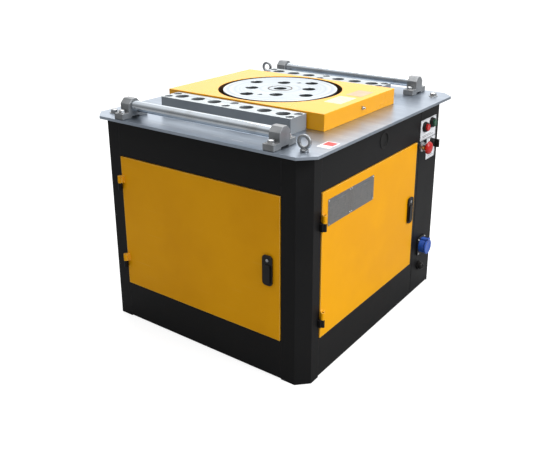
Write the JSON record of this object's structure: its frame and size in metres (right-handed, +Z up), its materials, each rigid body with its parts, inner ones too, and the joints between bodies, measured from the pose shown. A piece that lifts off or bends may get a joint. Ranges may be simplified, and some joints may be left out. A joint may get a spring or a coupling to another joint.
{
  "type": "rebar bender",
  "caption": "Electric bar bending machine: a table-top turning disc with pin holes, side hole bars and feed rollers on a closed cabinet.",
  "frame": {"origin": "on the floor under the working disc's axis", "axes": "+Z up along the disc's axis, +X towards the side with the controls, -Y towards the front door; the feed rollers lie along X"},
  "size_m": [0.7735, 0.87, 0.7058],
  "materials": {
    "black_paint": "satin powder coat",
    "yellow_paint": "semi-gloss powder coat",
    "plate_steel": "ground and clear coated",
    "ground_steel": "machined",
    "chrome": "polished",
    "cast_steel": "cast, painted silver grey",
    "gear_steel": "hobbed and oiled",
    "casting_paint": "painted casting",
    "rubber": "matte",
    "red_plastic": "gloss",
    "green_plastic": "gloss",
    "black_plastic": "fine texture",
    "blue_plastic": "satin"
  },
  "bodies": {
    "cabinet": {"corner_post_front_right": "black_paint", "corner_post_front_left": "black_paint", "corner_post_back_left": "black_paint", "corner_post_back_right": "black_paint", "front_top_panel": "black_paint", "front_bottom_panel": "black_paint", "side_top_panel": "black_paint", "side_bottom_panel": "black_paint", "left_panel": "black_paint", "back_panel": "black_paint", "floor_plate": "black_paint", "control_strip": "black_paint", "front_hinge_lower": "black_paint", "front_hinge_upper": "black_paint", "side_hinge_lower": "black_paint", "side_hinge_upper": "black_paint", "motor_shelf": "black_paint", "table_block": "yellow_paint", "table_plate": "plate_steel", "switchgear_plate": "plate_steel", "hole_bar_front": "ground_steel", "hole_bar_back": "ground_steel", "spindle_bearing_lower": "ground_steel", "spindle_bearing_upper": "ground_steel", "roller_bracket_front_left": "cast_steel", "roller_bracket_front_right": "cast_steel", "roller_bracket_back_left": "cast_steel", "roller_bracket_back_right": "cast_steel", "lifting_eye_front": "cast_steel", "lifting_eye_back": "cast_steel", "gearbox_body": "casting_paint", "gearbox_cover": "casting_paint", "motor_body": "casting_paint", "v_belt": "rubber", "contactor": "black_plastic", "socket_body": "blue_plastic"},
    "working_disc": {"working_disc": "ground_steel", "spindle": "gear_steel", "output_gear": "gear_steel"},
    "second_shaft": {"second_shaft": "gear_steel", "second_gear": "gear_steel"},
    "first_shaft": {"first_shaft": "gear_steel", "first_gear": "gear_steel"},
    "input_shaft": {"input_shaft": "gear_steel", "driven_pulley": "cast_steel"},
    "motor_rotor": {"motor_shaft": "gear_steel", "motor_pulley": "cast_steel"},
    "feed_roller_front": {"feed_roller_front": "chrome"},
    "feed_roller_back": {"feed_roller_back": "chrome"},
    "front_door": {"front_door": "yellow_paint", "front_latch_housing": "black_plastic"},
    "front_latch_lever": {"front_latch_lever": "black_plastic"},
    "side_door": {"side_door": "yellow_paint", "side_latch_housing": "black_plastic"},
    "side_latch_lever": {"side_latch_lever": "black_plastic"},
    "start_button": {"start_button": "green_plastic"},
    "stop_button": {"stop_button": "red_plastic"},
    "emergency_stop_button": {"emergency_stop_button": "red_plastic"},
    "selector_knob": {"selector_knob": "black_plastic"},
    "socket_flap": {"socket_flap": "blue_plastic"}
  },
  "joints": [
    {"name": "disc_spin", "type": "hinge", "parent": "cabinet", "child": "working_disc", "pos_m": [0, 0, 0.6763], "axis": [0, 0, 1], "continuous": true},
    {"name": "second_shaft_spin", "type": "hinge", "parent": "cabinet", "child": "second_shaft", "pos_m": [-0.141, 0.13835, 0.58], "axis": [0, 0, 1], "continuous": true},
    {"name": "first_shaft_spin", "type": "hinge", "parent": "cabinet", "child": "first_shaft", "pos_m": [-0.012, 0.2108, 0.53], "axis": [0, 0, 1], "continuous": true},
    {"name": "input_shaft_spin", "type": "hinge", "parent": "cabinet", "child": "input_shaft", "pos_m": [0.0951, 0.1718, 0.48], "axis": [0, 0, 1], "continuous": true},
    {"name": "motor_spin", "type": "hinge", "parent": "cabinet", "child": "motor_rotor", "pos_m": [0.24, -0.275, 0.4], "axis": [0, 0, 1], "continuous": true},
    {"name": "front_roller_spin", "type": "hinge", "parent": "cabinet", "child": "feed_roller_front", "pos_m": [0.008, -0.381, 0.685], "axis": [1, 0, 0], "continuous": true},
    {"name": "back_roller_spin", "type": "hinge", "parent": "cabinet", "child": "feed_roller_back", "pos_m": [0.008, 0.381, 0.685], "axis": [1, 0, 0], "continuous": true},
    {"name": "front_door_swing", "type": "hinge", "parent": "cabinet", "child": "front_door", "pos_m": [-0.28825, -0.4122, 0.32475], "axis": [0, 0, -1], "range_deg": [0, 120]},
    {"name": "side_door_swing", "type": "hinge", "parent": "cabinet", "child": "side_door", "pos_m": [0.3762, -0.33425, 0.329], "axis": [0, 0, -1], "range_deg": [0, 120]},
    {"name": "front_latch_lift", "type": "hinge", "parent": "front_door", "child": "front_latch_lever", "pos_m": [0.2505, -0.4098, 0.3315], "axis": [-1, 0, 0], "range_deg": [0, 35]},
    {"name": "side_latch_lift", "type": "hinge", "parent": "side_door", "child": "side_latch_lever", "pos_m": [0.3738, 0.183, 0.336], "axis": [0, -1, 0], "range_deg": [0, 35]},
    {"name": "start_press", "type": "slide", "parent": "cabinet", "child": "start_button", "axis": [-1, 0, 0], "range_m": [0, 0.004], "stiffness_N_per_m": 400},
    {"name": "stop_press", "type": "slide", "parent": "cabinet", "child": "stop_button", "axis": [-1, 0, 0], "range_m": [0, 0.004], "stiffness_N_per_m": 400},
    {"name": "emergency_stop_press", "type": "slide", "parent": "cabinet", "child": "emergency_stop_button", "axis": [-1, 0, 0], "range_m": [0, 0.005]},
    {"name": "selector_turn", "type": "hinge", "parent": "cabinet", "child": "selector_knob", "pos_m": [0.366, 0.315, 0.515], "axis": [1, 0, 0], "range_deg": [-45, 45]},
    {"name": "socket_flap_lift", "type": "hinge", "parent": "cabinet", "child": "socket_flap", "pos_m": [0.3928, 0.291, 0.1905], "axis": [0, -1, 0], "range_deg": [0, 100], "stiffness_Nm_per_rad": 0.03, "springref_deg": -17.19}
  ],
  "couplings": [
    {"joint": "second_shaft_spin", "follows": "disc_spin", "ratio": -4.2667},
    {"joint": "first_shaft_spin", "follows": "disc_spin", "ratio": 18.286},
    {"joint": "input_shaft_spin", "follows": "disc_spin", "ratio": -80.98},
    {"joint": "motor_spin", "follows": "disc_spin", "ratio": -186.35}
  ]
}
